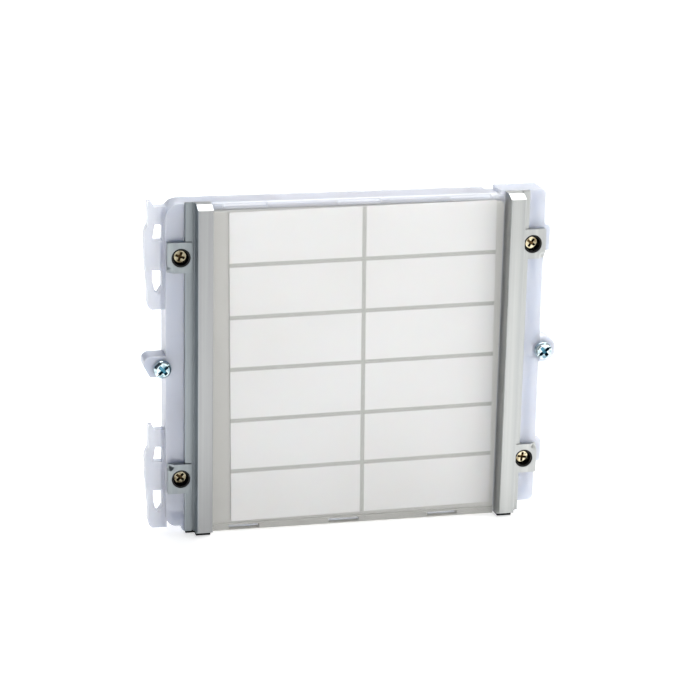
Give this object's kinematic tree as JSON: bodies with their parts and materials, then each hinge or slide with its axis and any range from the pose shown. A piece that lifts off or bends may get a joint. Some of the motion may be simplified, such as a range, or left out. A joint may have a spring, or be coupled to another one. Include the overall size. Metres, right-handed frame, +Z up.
{
  "type": "door intercom name panel",
  "caption": "Backlit name-card panel of a modular door station: milky housing with side springs, metal side rails, clear snap-in window over a card of white name fields.",
  "frame": {"origin": "centre of the four corner screws, on the plane where the rear rim of the housing's skirt seats", "axes": "+X to the right seen from the front, +Z up, -Y out of the panel's front face, +Y into the wall"},
  "size_m": [0.1412, 0.0302, 0.1134],
  "materials": {
    "milky_plastic": "translucent milky polycarbonate",
    "rail_metal": "satin",
    "gasket_rubber": "matte",
    "black_plastic": "gloss",
    "brass_plated": "bright",
    "nylon": "matte",
    "zinc_plated": "bright",
    "clear_plastic": "clear",
    "card": "printed card",
    "opal_plastic": "opal",
    "white_plastic": "matte",
    "circuit_board": "solder resist",
    "led_lens": "gloss",
    "dark_epoxy": "matte",
    "capacitor_sleeve": "gloss",
    "tinned_metal": "satin",
    "green_plastic": "matte"
  },
  "bodies": {
    "panel": {"housing": "milky_plastic", "left_rail": "rail_metal", "right_rail": "rail_metal", "left_rail_gasket": "gasket_rubber", "right_rail_gasket": "gasket_rubber", "screw_sleeves": "black_plastic", "diffuser": "opal_plastic", "reflector_frame": "white_plastic", "led_board": "circuit_board", "leds": "led_lens", "resistors": "dark_epoxy", "bridge_rectifier": "dark_epoxy", "smoothing_capacitor": "capacitor_sleeve", "driver_chip": "dark_epoxy", "chip_legs": "tinned_metal", "terminal_block": "green_plastic", "terminal_pins": "tinned_metal", "wire_clamps": "tinned_metal", "rear_cover": "milky_plastic", "cover_screws": "zinc_plated"},
    "corner_screw_upper_left": {"corner_screw_upper_left": "brass_plated", "retaining_ring_upper_left": "nylon"},
    "corner_screw_lower_left": {"corner_screw_lower_left": "brass_plated", "retaining_ring_lower_left": "nylon"},
    "corner_screw_upper_right": {"corner_screw_upper_right": "brass_plated", "retaining_ring_upper_right": "nylon"},
    "corner_screw_lower_right": {"corner_screw_lower_right": "brass_plated", "retaining_ring_lower_right": "nylon"},
    "ear_screw_left": {"ear_screw_left": "zinc_plated"},
    "ear_screw_right": {"ear_screw_right": "zinc_plated"},
    "window": {"window": "clear_plastic"},
    "name_card": {"name_card": "card"},
    "clamp_screw_left": {"clamp_screw_left": "zinc_plated"},
    "clamp_screw_right": {"clamp_screw_right": "zinc_plated"}
  },
  "joints": [
    {"name": "corner_screw_upper_left_turn", "type": "hinge", "parent": "panel", "child": "corner_screw_upper_left", "pos_m": [-0.0594, 0, 0.0379], "axis": [0, 1, 0], "continuous": true},
    {"name": "corner_screw_lower_left_turn", "type": "hinge", "parent": "panel", "child": "corner_screw_lower_left", "pos_m": [-0.0594, 0, -0.0379], "axis": [0, 1, 0], "continuous": true},
    {"name": "corner_screw_upper_right_turn", "type": "hinge", "parent": "panel", "child": "corner_screw_upper_right", "pos_m": [0.0594, 0, 0.0379], "axis": [0, 1, 0], "continuous": true},
    {"name": "corner_screw_lower_right_turn", "type": "hinge", "parent": "panel", "child": "corner_screw_lower_right", "pos_m": [0.0594, 0, -0.0379], "axis": [0, 1, 0], "continuous": true},
    {"name": "ear_screw_left_turn", "type": "hinge", "parent": "panel", "child": "ear_screw_left", "pos_m": [-0.06525, 0, 0], "axis": [0, 1, 0], "continuous": true},
    {"name": "ear_screw_right_turn", "type": "hinge", "parent": "panel", "child": "ear_screw_right", "pos_m": [0.06525, 0, 0], "axis": [0, 1, 0], "continuous": true},
    {"name": "window_slide", "type": "slide", "parent": "panel", "child": "window", "axis": [0, -1, 0], "range_m": [0, 0.015]},
    {"name": "name_card_slide", "type": "slide", "parent": "panel", "child": "name_card", "axis": [0, -1, 0], "range_m": [0, 0.0075]},
    {"name": "clamp_screw_left_turn", "type": "hinge", "parent": "panel", "child": "clamp_screw_left", "pos_m": [-0.00254, 0.0042, -0.034], "axis": [0, 1, 0], "continuous": true},
    {"name": "clamp_screw_right_turn", "type": "hinge", "parent": "panel", "child": "clamp_screw_right", "pos_m": [0.00254, 0.0042, -0.034], "axis": [0, 1, 0], "continuous": true}
  ],
  "couplings": [
    {"joint": "name_card_slide", "follows": "window_slide", "ratio": 0.5}
  ]
}
